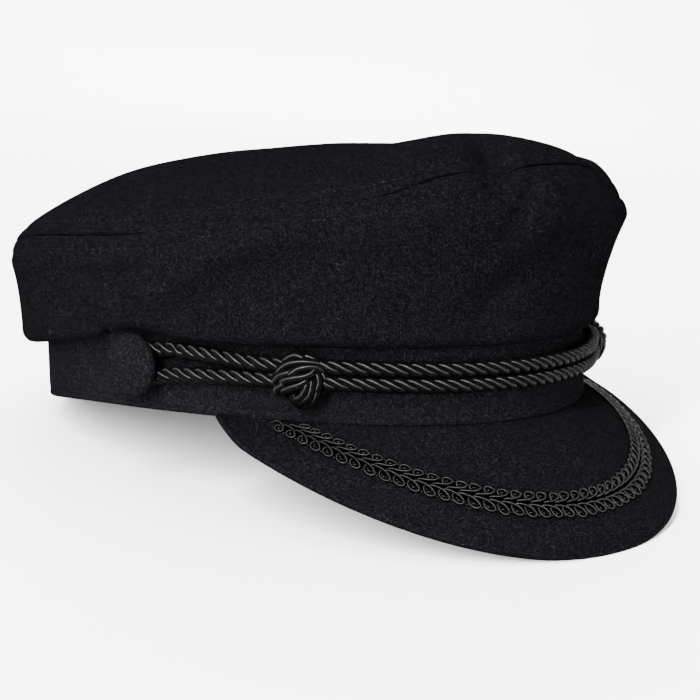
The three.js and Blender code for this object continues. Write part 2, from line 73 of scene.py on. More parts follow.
# Crown
CROWN_CLOTH = 2
BAND_RISE = 27
OVERHANG = 14.8
CROWN_RISE = 76.4
DOME_HEIGHT = 86.5
DOME_FULLNESS = 2.5
EDGE_ROUND = 2.4
ROLL_DEPTH = 4.5
BELLY_CURVE = 1.6
FOLD_REACH = 30
FOLD_DEPTH = 10

# Peak
PEAK_RIM_RADIUS = 83.8
PEAK_RIM_CENTRE = 55
PEAK_TIP_DROP = 35.2
PEAK_CORNER_LIFT = 5.4
PEAK_DROP_CURVE = 1.17
PEAK_THICKNESS = 3.2
PEAK_BULGE = 2
PEAK_HALF_ANGLE = 94.5
PEAK_CORNER_FROM = 76
PEAK_CORNER_TUCK = 5
PEAK_TOP_LIFT = 0.5
PEAK_END_LIFT = 1.3
PEAK_END_FROM = 83
PEAK_END_TO = 90
PEAK_EDGE_OUT = 0.42
PEAK_EDGE_IN = 0.2
PEAK_ROOT = 0.6

# Braid on the peak
BRAID_WIDTH = 8.8
BRAID_FROM_RIM = 11.4
BRAID_PITCH = 4.3
BRAID_STAGGER = 1.5
BRAID_FIRST = 16.3
BRAID_MIDDLE = BRAID_FROM_RIM + BRAID_WIDTH / 2
BRAID_SHIFT = 0.15
BRAID_INNER_ROW = 0.86
BRAID_INNER_ROOM = 3.2
BRAID_BAND_GAP = 0.7
BRAID_LIFT = 0.12
LOOP_STRAY = 0.03
LOOP_SLIDE = 0.1
GIMP_RADIUS = 0.45
GIMP_SIDES = 10
PIN_SIDES = 7

# Cord, knots and buttons
CORD_RADIUS = 2.3
CORD_OFF = CORD_RADIUS + 0.25
CORD_LAY = 12.2
PLY_RADIUS = 1.3
PLY_OFF = 1.24
STRAND_HALF_GAP = 0.05
HOOK_TURNS = (62, 92, 122, 152, 180, 208, 238, 268, 298)
CORD_PARTS = 10
CORD_STEP = 0.7
KNOT_LIFT = 1.7
KNOT_ANGLE = 47
KNOT_HEIGHT = 13.9
KNOT_BASE = 2.2
KNOT_RISE = 6.3
KNOT_PLY = 1.3
KNOT_HALF_WIDTH = 8.4
KNOT_HALF_HEIGHT = 8.6
KNOT_DROP = 0.3
KNOT_CORE_WIDTH = 6
KNOT_CORE_HEIGHT = 6.2
KNOT_CORE_DROP = 0.6
KNOT_CORE_UNDER = 1.4
BUTTON_ANGLE = 77.7
BUTTON_HEIGHT = 14.7
BUTTON_RADIUS = 9.9
BUTTON_DOME = 5
SHANK_RADIUS = 2.4
BUTTON_GAP = 0.9
BUTTON_PROFILE = (
    (0.5, 0), (0.86, 0), (0.97, 0.1), (1, 0.28), (0.955, 0.5), (0.8, 0.74), (0.55, 0.9), (0.28, 0.98),
)
GATHERS = 17
GATHER_DEPTH = 0.16
GATHER_REACH = 1.3
PLY_SIDES = 14

# Swells of each cloth: seed, height, shortest and longest wave
SIDE_SWELL = (3, 0.28, 26, 70)
TIP_SWELL = (5, 0.32, 30, 80)
BAND_SWELL = (9, 0.09, 18, 50)
PEAK_SWELL = (21, 0.1, 16, 46)
SWELL_WAVES = 14
SWELL_FROM_SEAM = 12
HANG_REACH = 14

# Seams, hem and stitches
PUCKER_COUNTS = (37, 44, 53, 61, 72)
PUCKER_DEPTH = 0.11
PUCKER_REACH = 6.5
SEAM_ROUND = 0.8
SEAM_REACH = 0.8
SEAM_LINE_IN = 0.15
SEAM_LINE_UP = 0.5
SEAM_TURN_UP = 0.55
SEAM_TURN_IN = 0.9
FOLD_FADE = 3
SIDE_STITCH_AWAY = 4.4
TIP_STITCH_AWAY = 3.1
STITCH_PULL = 0.3
STITCH_PULL_REACH = 0.8
STITCH_START = 0.5
STITCH_STRAY = 0.15
STITCH_SINK = 0.12
STITCH_POINTS = 7
SEAM_STITCH = {"pitch": 2.9, "dash": 1.4, "radius": 0.14, "rise": 0.12}
HEM_STITCH = {"pitch": 3.2, "dash": 1.5, "radius": 0.15, "rise": 0.2}
HEM_AWAY = 2.7
HEM_GROOVE = 0.22
HEM_GROOVE_REACH = 0.7
HEM_PULL = 0.2
HEM_PULLS = 95 * np.pi
HEM_STITCH_IN = 0.2
BAND_EDGE_ROUND = 1.3

# How the cap is set down: turned about X, lifted, and moved so that the middle of its box is at the origin
REST_PITCH = 0.15062934
REST_MOVE = (0, 10.629, 14.806)

# Crown sections, as shares of the lengths above. low and roll: the bottom of the overhang. wide and belly:
# the widest place. edge and seam: the seam of the top panel.
CROWN_COLUMNS = ("at", "low", "roll", "wide", "belly", "edge", "seam")
CROWN_SECTIONS = (
    (-150, 0.8, 0.58, 0.76, 0.88, 0.64, 0.725),
    (-125, 0.83, 0.57, 0.76, 0.88, 0.66, 0.75),
    (-103, 0.94, 0.57, 0.78, 0.88, 0.68, 0.77),
    (-88, 1.06, 0.57, 0.8, 0.88, 0.7, 0.775),
    (-82, 1.16, 0.57, 0.81, 0.88, 0.7, 0.775),
    (-74, 1.16, 0.55, 0.83, 0.88, 0.72, 0.775),
    (-68, 1.07, 0.52, 0.85, 0.88, 0.74, 0.775),
    (-58, 1.01, 0.46, 0.9, 0.88, 0.78, 0.79),
    (-44, 0.99, 0.41, 0.96, 0.93, 0.82, 0.81),
    (-33, 0.96, 0.38, 0.99, 0.94, 0.83, 0.84),
    (-22, 0.94, 0.37, 1, 0.9, 0.82, 0.9),
    (-14, 0.89, 0.37, 1, 0.86, 0.81, 0.974),
    (-6, 0.88, 0.38, 1, 0.84, 0.81, 1),
    (4, 0.88, 0.38, 0.99, 0.84, 0.81, 0.998),
    (12, 0.885, 0.39, 0.98, 0.84, 0.81, 0.993),
    (19, 0.9, 0.4, 0.97, 0.84, 0.81, 0.983),
    (25, 0.92, 0.41, 0.95, 0.85, 0.8, 0.957),
    (31, 0.935, 0.42, 0.93, 0.86, 0.79, 0.916),
    (38, 0.955, 0.44, 0.91, 0.87, 0.78, 0.887),
    (46, 0.985, 0.46, 0.89, 0.87, 0.77, 0.875),
    (56, 1.01, 0.49, 0.87, 0.87, 0.76, 0.846),
    (68, 1.07, 0.53, 0.85, 0.88, 0.74, 0.8),
    (74, 1.16, 0.55, 0.83, 0.88, 0.72, 0.79),
    (82, 1.16, 0.57, 0.81, 0.88, 0.7, 0.79),
    (88, 1.05, 0.57, 0.8, 0.88, 0.69, 0.79),
    (103, 0.94, 0.57, 0.77, 0.88, 0.66, 0.788),
    (125, 0.83, 0.57, 0.75, 0.88, 0.63, 0.75),
    (150, 0.8, 0.57, 0.75, 0.88, 0.63, 0.725),
    (180, 0.8, 0.57, 0.75, 0.88, 0.63, 0.713),
)

# Folds of the soft crown: name, place round the cap, place up from the tip seam (down when negative),
# half-width in degrees, half-length, lean, sink and tuck. Places up and half-lengths are shares of FOLD_REACH.
# Sink and tuck are shares of FOLD_DEPTH.
CROWN_FOLDS = (
    ("front dent", 12, 0.13, 4, 0.4, 7.5, 0.5, 0.25),
    ("crease under the dent", 9, -0.4, 2.6, 0.3, 9, 0, 0.16),
    ("front swell", 7, 0.7, 20, 0.57, 0, -0.46, 0),
    ("left front fullness", -37, 0.4, 17, 0.37, 0, -0.75, -0.36),
    ("pleat behind the right button", 91, -0.83, 3, 0.3, 6, 0, 0.15),
    ("left front notch", -17, 0.17, 5, 0.3, 0, 0.16, 0.1),
    ("left back hollow", -128, 0.87, 20, 0.6, 0, 0.16, 0),
    ("back pleat", 158, -0.67, 4, 0.33, -6, 0, 0.14),
    ("left side pleat", -96, -0.73, 4, 0.33, -6, 0, 0.14),
)

# Soft folds of the cloth: name, depth inwards (outwards when negative), half-width, and points of the fold's
# line, each a place round the cap in degrees and a distance down from the tip seam (up when negative).
SOFT_FOLDS = (
    ("ridge below the shoulder", -3.0, 6.6, (72, 18.5), (65.5, 14.3), (62, 11.9), (58.5, 9.2),
     (55, 7.6), (52, 6.2), (48, 4.4)),
    ("hollow above the ridge", 1.7, 4.6, (82, 14), (74, 10.5), (66, 6)),
    ("crease from the dent", 1.5, 1.7, (17.6, -3), (16, 0.2), (13.4, 2.8), (12, 6.6), (10.4, 10.2),
     (7.5, 13.6)),
    ("swell beside the crease", -0.9, 5.5, (7, 1), (4, 7), (2.5, 11)),
    ("front valley", 2.1, 6.5, (-10, 20), (-6, 24), (-1.5, 28.5), (3, 31.5), (6.5, 33),
     (9.5, 35), (12.5, 38), (16, 42)),
    ("swell over the valley", -0.8, 7, (3, 20), (10, 22), (18, 26)),
    ("pleat by the button", 2.8, 1.9, (87.8, 23), (86.8, 26.5), (85.4, 30), (82.8, 33.5)),
    ("swell before the pleat", -0.8, 3.6, (82.6, 22), (81.5, 28)),
    ("left side crease", 1.2, 2.2, (-62, 2), (-66, 9), (-73, 15)),
    ("left side valley", 1.4, 6, (-40, 20), (-48, 27), (-58, 30)),
    ("back crease", 1.1, 2.4, (150, 4), (144, 12), (141, 19)),
    ("back valley", 1.3, 6.5, (-165, 20), (-172, 28), (178, 31)),
)
CLOTH_PER_DEGREE = 1.85

# How open the tip seam's groove is, round the cap: 1 is an open groove, 0 is pulled flat.
SEAM_COLUMNS = ("at", "open")
SEAM_OPEN = (
    (-150, 0.5), (-100, 0.9), (-60, 0.35), (-20, 0.7), (4, 0.75), (14, 0.5), (24, 0.8), (34, 0.35),
    (42, 0.02), (58, 0), (70, 0.02), (76, 0.9), (88, 1), (110, 0.8), (140, 0.3), (180, 0.8),
)

# The cord's strands, the same on both sides: place, height between them, how far they part and stand off.
STRAND_COLUMNS = ("at", "middle", "open", "off")
STRAND_PLACES = (
    (0, 0.557, 1, 0),
    (20, 0.557, 1, 0),
    (34, 0.561, 1, 0.12),
    (40, 0.565, 1, 0.7),
    (47, 0.568, 1, 1),
    (54, 0.568, 1, 0.7),
    (60, 0.578, 1.18, 0.12),
    (65, 0.588, 1.4, 0),
    (70, 0.593, 1.61, 0),
)

# The plies that show on a knot: points towards the front, up, and above the knot's dome.
KNOT_PLIES = (
    ("back crest", (-5.2, 3.6, -3), (-4.1, 5.6, -1), (-1.4, 6.9, 0), (1, 6.4, 0), (2.6, 4.8, -1.5)),
    ("front crest", (0.6, 6.2, -2.5), (2, 6.6, -0.6), (4, 6, -0.3), (5.8, 4.4, -1), (6.6, 2.6, -3)),
    ("first wrap", (-7.4, -0.3, -3), (-6.6, 1.4, -0.5), (-5, 3.4, 0), (-2.6, 4.7, 0.3), (0.2, 5.2, 0.3),
     (2.6, 5.1, 0.2), (5.4, 4.4, -0.6), (6.8, 2.8, -2.5)),
    ("second wrap", (-8, -2.2, -3), (-7, -0.2, -0.3), (-5.4, 1.2, 0.3), (-3.4, 2, 0.6),
     (-1.2, 2.6, 0.3), (1, 2.9, -1)),
    ("third wrap", (-3.2, 0.6, -1.5), (-1.6, 2, 0.6), (0.2, 3.2, 1), (2.4, 3.7, 1),
     (4.6, 3.6, 0.4), (6.2, 2.6, -1.4)),
    ("fourth wrap", (-4.6, -1.2, -1.5), (-3.4, 0.1, 0.8), (-0.6, 0.8, 1.3), (2.4, 1.2, 1.3),
     (4.2, 1.9, 0.9), (5.2, 3, -0.8)),
    ("lower back wrap", (-7.2, -4, -2.5), (-6.2, -2.6, -0.3), (-4.4, -1.4, 0.2), (-2.6, -0.8, -0.8)),
    ("fifth wrap", (-4.8, -3.6, -2), (-3.6, -2.9, 0.2), (-1.6, -2, 0.8), (0.6, -1.3, 1),
     (2.6, -0.3, 0.9), (4, 0.8, -0.6)),
    ("inner bight", (-1.6, -4.6, -1.5), (-0.4, -5.4, -0.2), (1, -4.6, 0.5), (2.2, -3, 0.9),
     (2.9, -1.4, 0.9), (3.2, 0.2, -0.6)),
    ("middle bight", (-2.2, -5.2, -2), (-0.8, -6.3, -0.5), (1.2, -6.3, 0.2), (3, -5, 0.6),
     (3.9, -3, 0.8), (4.2, -0.8, 0.2), (4.2, 0.8, -1.2)),
    ("outer bight", (-2, -5.9, -2.6), (-0.4, -7.5, -1.6), (1.6, -7.9, -1), (3.8, -6.8, -0.5),
     (5, -4.8, 0), (5.4, -3, -0.4)),
    ("front turn", (4.6, 3, -1.2), (5.6, 1.4, 0), (6.1, -0.6, 0.2), (5.6, -2.6, 0), (4.6, -4.2, -1.2)),
    ("outer front turn", (6, 2.6, -2), (7.2, 0.6, -1.2), (7.6, -1.6, -1.2), (6.8, -3.8, -1.6),
     (5.4, -5.2, -2.6)),
)

# One loop of the braid: along it from the loop's near end, out from its middle line, and above the peak.
BRAID_LOOP = (
    (-2.9, 0.66, 0.3), (-2.2, 0.68, 0.7), (-1.1, 0.75, 0.9), (0.2, 0.98, 0.95), (1.5, 1.5, 0.95),
    (2.55, 2.35, 0.85), (3.05, 3.35, 0.7), (2.55, 4.15, 0.6), (1.45, 4.45, 0.55), (0.4, 3.95, 0.55),
    (-0.05, 2.95, 0.6), (0.02, 2.1, 0.5), (0.3, 1.4, 0.3),
)

# The small beads of thread inside a loop: along it, out from its middle line, above the peak, and radius.
BRAID_PINS = ((-0.5, 3.75, 0.38, 0.36), (1.35, 3.1, 0.35, 0.46), (0.95, 2.3, 0.3, 0.3))

# The strip under the loops, across it: out from its middle line, and above the peak.
BRAID_STRIP = ((-2.2, 0.0), (-1.8, 0.28), (0, 0.4), (1.8, 0.28), (2.2, 0.0), (0, -0.05))

rng = np.random.default_rng(7)


def unit(v):
    return v / np.maximum(np.linalg.norm(v, axis=-1, keepdims=True), 1e-9)


def lerp(a, b, share):
    return a + (b - a) * share


def bell(distance, reach):
    """1 at no distance, and fading to nothing past the reach."""
    return np.exp(-((distance / reach) ** 2))


def rounded(away, radius):
    """How far a rounded edge has come out to its full width, a distance in from its end."""
    return np.sqrt(np.clip(1 - (1 - np.clip(away / radius, 0, 1)) ** 2, 0, 1))


def pitched(v):
    """Directions of the head's frame, as they lie where the cap rests."""
    x, y, z = np.moveaxis(np.asarray(v, float), -1, 0)
    c, s = np.cos(REST_PITCH), np.sin(REST_PITCH)
    return np.stack([x, y * c + z * s, z * c - y * s], -1)


def settled(points):
    """Points of the head's frame, in millimetres, where the cap rests in the row frame, in metres."""
    turned = pitched(points) + REST_MOVE
    turned[..., 2] = np.maximum(turned[..., 2], 0)
    return turned * MM


def around(angle, out, z):
    """A point at an angle round the cap, a distance out from the band's face, and a height."""
    a = np.radians(angle)
    x = -(BAND_HALF_WIDTH + out) * np.sin(a)
    y = -(BAND_HALF_LENGTH + out) * np.cos(a)
    return np.stack(np.broadcast_arrays(x, y, z), -1)


def outward(angle):
    a = np.radians(angle)
    return unit(np.stack([-BAND_HALF_LENGTH * np.sin(a), -BAND_HALF_WIDTH * np.cos(a), 0 * a], -1))


def band_low(angle):
    a = np.radians(angle)
    curve = np.where(np.cos(a) < 0, BAND_BACK_CURVE, BAND_FRONT_CURVE)
    return BAND_SIDE_LIFT * np.abs(np.sin(a)) ** curve


def column(rows, columns, name, angle, ring=True):
    """A column's value at each angle, smooth between its rows. A ring table repeats after 360 degrees."""
    at = np.array([row[0] for row in rows], float)
    value = np.array([row[columns.index(name)] for row in rows], float)
    angle = np.asarray(angle, float)
    if ring:
        at = np.concatenate([at - 360, at, at + 360])
        value = np.tile(value, 3)
        angle = (angle + 180) % 360 - 180
    slope = np.empty_like(value)
    slope[1:-1] = (value[2:] - value[:-2]) / (at[2:] - at[:-2])
    slope[0] = (value[1] - value[0]) / (at[1] - at[0])
    slope[-1] = (value[-1] - value[-2]) / (at[-1] - at[-2])
    i = np.clip(np.searchsorted(at, angle, side="right") - 1, 0, len(at) - 2)
    run = at[i + 1] - at[i]
    u = np.clip((angle - at[i]) / run, 0, 1)
    a, b, rise, fall = value[i], value[i + 1], slope[i] * run, slope[i + 1] * run
    return a + u * rise + u**2 * (3 * (b - a) - 2 * rise - fall) + u**3 * (rise + fall - 2 * (b - a))


def folded(angle, along):
    """How far the folds sink and tuck a place of the crown."""
    sink, tuck = 0, 0
    for _, at, place, wide, length, lean, down, inwards in CROWN_FOLDS:
        past = along / FOLD_REACH - place
        turn = angle - at + lean * past
        turn = turn - 360 * np.round(turn / 360)
        depth = FOLD_DEPTH * np.exp(-((turn / wide) ** 2) - (past / length) ** 2)
        sink = sink + down * depth
        tuck = tuck + inwards * depth
    return sink, tuck


def crown_at(angle):
    def value(name):
        return column(CROWN_SECTIONS, CROWN_COLUMNS, name, angle)

    seam = value("seam") * CROWN_RISE
    return {
        "low": value("low") * BAND_RISE,
        "roll": value("roll") * OVERHANG,
        "wide": value("wide") * OVERHANG,
        "wide_z": value("belly") * seam,
        "seam_out": value("edge") * OVERHANG,
        "seam_z": seam,
    }


def band_top(angle):
    return crown_at(angle)["low"] + BAND_COVER


# Curves and meshes


def smooth_curve(points, parts):
    """A Catmull-Rom curve through points, along their second last axis."""
    p = np.asarray(points, float)
    first = 2 * p[..., :1, :] - p[..., 1:2, :]
    last = 2 * p[..., -1:, :] - p[..., -2:-1, :]
    p = np.concatenate([first, p, last], -2)
    a, b, c, d = p[..., :-3, :], p[..., 1:-2, :], p[..., 2:-1, :], p[..., 3:, :]
    u = (np.arange(parts) / parts)[:, None]
    a, b, c, d = (x[..., None, :] for x in (a, b, c, d))
    curve = b + 0.5 * u * (c - a + u * (2 * a - 5 * b + 4 * c - d + u * (3 * (b - c) + d - a)))
    curve = curve.reshape(*curve.shape[:-3], -1, curve.shape[-1])
    return np.concatenate([curve, p[..., -2:-1, :]], -2)


def lengths(points):
    steps = np.linalg.norm(np.diff(points, axis=-2), axis=-1)
    return np.concatenate([np.zeros_like(steps[..., :1]), np.cumsum(steps, -1)], -1)


def at_lengths(points, places):
    """Points of a polyline at lengths from its start."""
    along = lengths(points)
    return np.stack([np.interp(places, along, points[:, k]) for k in range(points.shape[1])], -1)


def ringed(line):
    return np.concatenate([line, line[:1]])


def tangents(path, closed):
    if closed:
        return unit(np.roll(path, -1, 0) - np.roll(path, 1, 0))
    return unit(np.gradient(path, axis=0))


def carried(path, closed):
    """A direction square to a path, carried along it without twist, and back to itself on a closed path."""
    along = tangents(path, closed)
    across = np.empty_like(path)
    start = np.array([0, 0, 1.0])
    across[0] = unit(start - along[0] * (start @ along[0]))
    for i in range(1, len(path)):
        v = across[i - 1] - along[i] * (across[i - 1] @ along[i])
        across[i] = unit(v)
    if closed:
        end = unit(across[-1] - along[0] * (across[-1] @ along[0]))
        miss = np.arctan2(np.cross(across[0], end) @ along[0], across[0] @ end)
        turn = -miss * np.arange(len(path)) / len(path)
        other = np.cross(along, across)
        across = across * np.cos(turn)[:, None] + other * np.sin(turn)[:, None]
    return across


def smooth_mesh(name, points, faces):
    mesh = bpy.data.meshes.new(name)
    mesh.from_pydata(points.tolist(), [], faces)
    mesh.polygons.foreach_set("use_smooth", [True] * len(faces))
    return mesh


def added(name, data):
    made = bpy.data.objects.new(name, data)
    bpy.context.scene.collection.objects.link(made)
    return made


def matrix_of(axes, where):
    """The matrix of an object with the given axes, at a place."""
    matrix = np.eye(4)
    matrix[:3, :3] = np.stack(axes, 1)
    matrix[:3, 3] = where
    return Matrix(matrix.tolist())


class Shape:
    """Points and faces of one piece, with a place along and around each strand for its material."""

    def __init__(self):
        self.points = []
        self.faces = []
        self.places = []
        self.ways = []
        self.count = 0

    def add(self, points, faces):
        points = np.asarray(points, float).reshape(-1, 3)
        self.points.append(points)
        self.places.append(np.zeros((len(points), 2)))
        self.ways.append(np.zeros((len(points), 3)))
        self.faces.extend([tuple(int(v) + self.count for v in face) for face in faces])
        self.count += len(points)

    def grid(self, rows, wrap_rows, wrap_columns, caps=False):
        """A sheet of quads over rows of points."""
        n, m = rows.shape[:2]
        i, j = np.meshgrid(
            np.arange(n if wrap_rows else n - 1), np.arange(m if wrap_columns else m - 1), indexing="ij"
        )
        k, l = (i + 1) % n, (j + 1) % m
        faces = np.stack([i * m + j, k * m + j, k * m + l, i * m + l], -1).reshape(-1, 4).tolist()
        if caps:
            faces += [list(range(m))[::-1], list(range((n - 1) * m, n * m))]
        self.add(rows, faces)

    def tube(self, path, radius, sides, closed=False, facing=None, wide=1.0):
        """A tube along a path. facing is the way to a section's first point. wide stretches it across."""
        along = tangents(path, closed)
        up = carried(path, closed) if facing is None else facing
        side = unit(np.cross(along, up))
        up = np.cross(side, along)
        turn = 2 * np.pi * np.arange(sides) / sides
        radius = np.broadcast_to(radius, len(path))[:, None, None]
        rows = path[:, None] + radius * (
            np.cos(turn)[None, :, None] * up[:, None] + wide * np.sin(turn)[None, :, None] * side[:, None]
        )
        self.grid(rows, closed, True, caps=not closed)
        run = lengths(path)
        places = np.stack(np.broadcast_arrays(run[:, None], (np.arange(sides) / sides)[None]), -1)
        self.places[-1] = places.reshape(-1, 2)
        self.ways[-1] = np.repeat(along, sides, axis=0)

    def piece(self, name, material, slot, replaces=()):
        mesh = smooth_mesh(name, settled(np.concatenate(self.points)), self.faces)
        ways = pitched(np.concatenate(self.ways))
        strands = np.concatenate(self.places)
        for label, kind, rows in (("strand", "FLOAT2", strands), ("way", "FLOAT_VECTOR", ways)):
            layer = mesh.attributes.new(label, kind, "POINT")
            layer.data.foreach_set("vector", rows.astype(np.float32).ravel())
        mesh.materials.append(material)
        mesh.update()
        made = added(name, mesh)
        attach(made, "root")
        if replaces:
            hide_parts(*replaces)


def facing_out(shape):
    """Turns every face of a closed shape round if it is inside out."""
    points = np.concatenate(shape.points)
    volume = 0
    for face in shape.faces[:: max(1, len(shape.faces) // 20000)]:
        a, b, c = points[list(face[:3])]
        volume += a @ np.cross(b, c)
    if volume < 0:
        shape.faces = [face[::-1] for face in shape.faces]
    return shape


# Materials

WOOL_DARK = 0.0007
WOOL_MIDDLE = 0.0016
WOOL_LIGHT = 0.005
WOOL_LINT = 0.016
FIBRE_ALONG = 800
FIBRE_ACROSS = 2700
FIBRE_TURNS = ((0.3, 0.2, 0.4), (1.2, 0.7, 2.1), (2.2, 1.9, 0.8))
HAIR_BENDS = (380, 380, 380)
HAIR_PATCHES = (300, 300, 300)
SATIN_IOR = 1.065


class Tree:
    """Adds nodes to a material and links them by name."""

    def __init__(self, name):
        self.material = bpy.data.materials.new(name)
        self.material.use_nodes = True
        self.nodes = self.material.node_tree.nodes
        self.links = self.material.node_tree.links
        self.shader = self.nodes["Principled BSDF"]

    def node(self, kind, settings=None, **inputs):
        made = self.nodes.new(kind)
        for key, value in (settings or {}).items():
            setattr(made, key, value)
        for key, value in inputs.items():
            self.put(made.inputs[int(key[1:]) if key[0] == "_" else key.replace("_", " ")], value)
        return made

    def put(self, socket, value):
        if isinstance(value, bpy.types.NodeSocket):
            self.links.new(value, socket)
        else:
            socket.default_value = value

    def surface(self, **inputs):
        for key, value in inputs.items():
            self.put(self.shader.inputs[key.replace("_", " ")], value)

    def math(self, operation, a, b=0.0):
        return self.node("ShaderNodeMath", {"operation": operation}, _0=a, _1=b).outputs[0]

    def noise(self, where, scale, detail=2.0, roughness=0.5, distortion=0.0):
        rest = {"Detail": detail, "Roughness": roughness, "Distortion": distortion}
        return self.node("ShaderNodeTexNoise", Vector=where, Scale=scale, **rest).outputs["Fac"]

    def ramp(self, value, low, high, to_low=0.0, to_high=1.0):
        smooth = {"interpolation_type": "SMOOTHSTEP"}
        ends = {"From_Min": low, "From_Max": high, "To_Min": to_low, "To_Max": to_high}
        return self.node("ShaderNodeMapRange", smooth, Value=value, **ends).outputs["Result"]

    def mixed(self, share, a, b):
        return self.node("ShaderNodeMix", {"data_type": "RGBA"}, _0=share, _6=a, _7=b).outputs[2]

    def stretched(self, where, turn, scale):
        return self.node("ShaderNodeMapping", Vector=where, Rotation=turn, Scale=scale).outputs[0]

    def bump(self, height, strength, distance):
        made = self.node("ShaderNodeBump", Height=height, Strength=strength, Distance=distance)
        return made.outputs["Normal"]


def wool_material(name, tone=1.0):
    """Black fulled wool: a felted ground, short fibres in every direction, and a few long light hairs."""
    t = Tree(name)
    where = t.node("ShaderNodeTexCoord").outputs["Object"]
    mottle = t.noise(where, 700, 4, 0.8)
    ground = t.noise(where, 2300, 2, 0.7)
    streaks = None
    for axis, turn in enumerate(FIBRE_TURNS):
        scale = [FIBRE_ALONG if k == axis else FIBRE_ACROSS for k in range(3)]
        streak = t.ramp(t.noise(t.stretched(where, turn, scale), 1.0, 1.0, 0.5, 0.4), 0.56, 0.72)
        streaks = streak if streaks is None else t.math("MAXIMUM", streaks, streak)
    bends = t.noise(t.stretched(where, (0.5, 1, 1.7), HAIR_BENDS), 1.0, 1.5, 0.5, 0.5)
    curl = t.math("ABSOLUTE", t.math("SUBTRACT", bends, 0.5))
    rare = t.ramp(t.noise(t.stretched(where, (0.9, 0.3, 1.4), HAIR_PATCHES), 1.0, 1.5, 0.5), 0.69, 0.72)
    hair = t.math("MULTIPLY", t.ramp(curl, 0.0, 0.012, 1.0, 0.0), rare)

    def shade(level):
        return (level * tone, level * tone, level * 1.16 * tone, 1)

    cloud = t.math("MULTIPLY", t.math("ADD", mottle, ground), 0.5)
    felt = t.mixed(t.ramp(cloud, 0.36, 0.64), shade(WOOL_DARK), shade(WOOL_MIDDLE))
    haired = t.mixed(streaks, felt, shade(WOOL_LIGHT))
    height = t.math("ADD", t.math("MULTIPLY", streaks, 0.6), ground)
    t.surface(
        Base_Color=t.mixed(hair, haired, (WOOL_LINT, WOOL_LINT, WOOL_LINT * 1.05, 1)),
        Normal=t.bump(height, 0.4, 0.0002),
        Roughness=t.ramp(ground, 0.3, 0.8, 1.0, 0.85),
        Specular_IOR_Level=0.0,
    )
    return t.material


def satin_material(name, turns, spacing, roughness, tone=0.0005):
    """Black satin yarn: fine threads laid along a strand, at a slant."""
    t = Tree(name)
    strand = t.node("ShaderNodeAttribute", {"attribute_name": "strand"}).outputs["Vector"]
    along, across = t.node("ShaderNodeSeparateXYZ", Vector=strand).outputs[:2]
    slant = t.math("ADD", t.math("MULTIPLY", along, 1 / spacing), t.math("MULTIPLY", across, turns))
    threads = t.math("SINE", t.math("MULTIPLY", slant, 2 * np.pi))
    uneven = t.noise(t.node("ShaderNodeTexCoord").outputs["Object"], 900, 2, 0.5)
    dark = (tone, tone, tone * 1.06, 1)
    pale = (tone * 2.4, tone * 2.4, tone * 2.5, 1)
    t.surface(
        Base_Color=t.mixed(t.ramp(threads, -0.6, 1), dark, pale),
        Normal=t.bump(threads, 0.03, 0.00005),
        Roughness=t.ramp(uneven, 0.3, 0.7, roughness, roughness + 0.08),
        Tangent=t.node("ShaderNodeAttribute", {"attribute_name": "way"}).outputs["Vector"],
        Anisotropic=1.0,
        IOR=SATIN_IOR,
    )
    return t.material


wool = wool_material("fulled_wool")
# Lit and shaded copies of the one wool, their tones set by how the light falls on each piece: the crown's
# cloth is painted darker (painted shade), and the band and the buttons are painted lighter (painted light).
wool_crown_painted_shade = wool_material("fulled_wool_crown_painted_shade", tone=0.76)
wool_band_painted_light = wool_material("fulled_wool_band_painted_light", tone=1.1)
wool_button_painted_light = wool_material("fulled_wool_button_painted_light", tone=1.14)
satin = satin_material("satin_cord", turns=14, spacing=0.9, roughness=0.34)
gimp = satin_material("gimp_thread", turns=7, spacing=0.6, roughness=0.36)
# The stitches' thread is painted lighter than the wool: a painted highlight that stands in for the small
# glints of the stitches.
thread = wool_material("sewing_thread_painted_glint", tone=2.4)


# Cloth of the crown


def undulation(points, seed, amount, shortest, longest):
    """Small swells of soft cloth, from a few waves that cross it."""
    waves = np.random.default_rng(seed)
    total = np.zeros(points.shape[:-1])
    for _ in range(SWELL_WAVES):
        way = unit(waves.normal(size=3))
        length = waves.uniform(shortest, longest)
        total += np.sin(points @ way * (2 * np.pi / length) + waves.uniform(0, 2 * np.pi))
    return amount * total / np.sqrt(SWELL_WAVES)


def puckers(angle, away, seed):
    """Little ripples along a seam, gone a few millimetres away from it."""
    waves = np.random.default_rng(seed)
    total = 0
    for count in PUCKER_COUNTS:
        height = waves.uniform(0.5, 1)
        total = total + height * np.sin(np.radians(angle) * count + waves.uniform(0, 2 * np.pi))
    return PUCKER_DEPTH * total * bell(away, PUCKER_REACH)


def soft_folds(angle, down):
    """How far the soft folds sink a place of the crown, given its distance down from the tip seam."""
    place = np.stack(np.broadcast_arrays(angle * CLOTH_PER_DEGREE, down), -1)
    total = 0
    for _, depth, half_width, *points in SOFT_FOLDS:
        middle = points[0][0]
        turned = [((at - middle + 180) % 360 - 180 + middle, drop) for at, drop in points]
        line = smooth_curve(np.array(turned) * (CLOTH_PER_DEGREE, 1), 5)
        nearest = np.full(place.shape[:-1], np.inf)
        for turn in (-360, 0, 360):
            shifted = line + np.array([turn * CLOTH_PER_DEGREE, 0])
            for a, b in zip(shifted[:-1], shifted[1:]):
                along = b - a
                share = np.clip(((place - a) @ along) / (along @ along), 0, 1)
                gap = place - a - share[..., None] * along
                nearest = np.minimum(nearest, np.einsum("...i,...i", gap, gap))
        total = total + depth * np.exp(-nearest / half_width**2)
    return total


# Where the cloths have points: round the cap, and from the tip seam as shares of each cloth's length
ANGLES = np.arange(720) * 0.5 - 180
TIP_ANGLES = np.arange(600) * 0.6 - 180
SIDE_SHARES = np.concatenate([[0, 0.0025], np.arange(0, 0.11, 0.0055)[1:], np.linspace(0.11, 1, 42)])
TIP_SHARES = np.concatenate([[0, 0.0025], np.arange(0.006, 0.1, 0.006), np.linspace(0.1, 0.97, 34)])

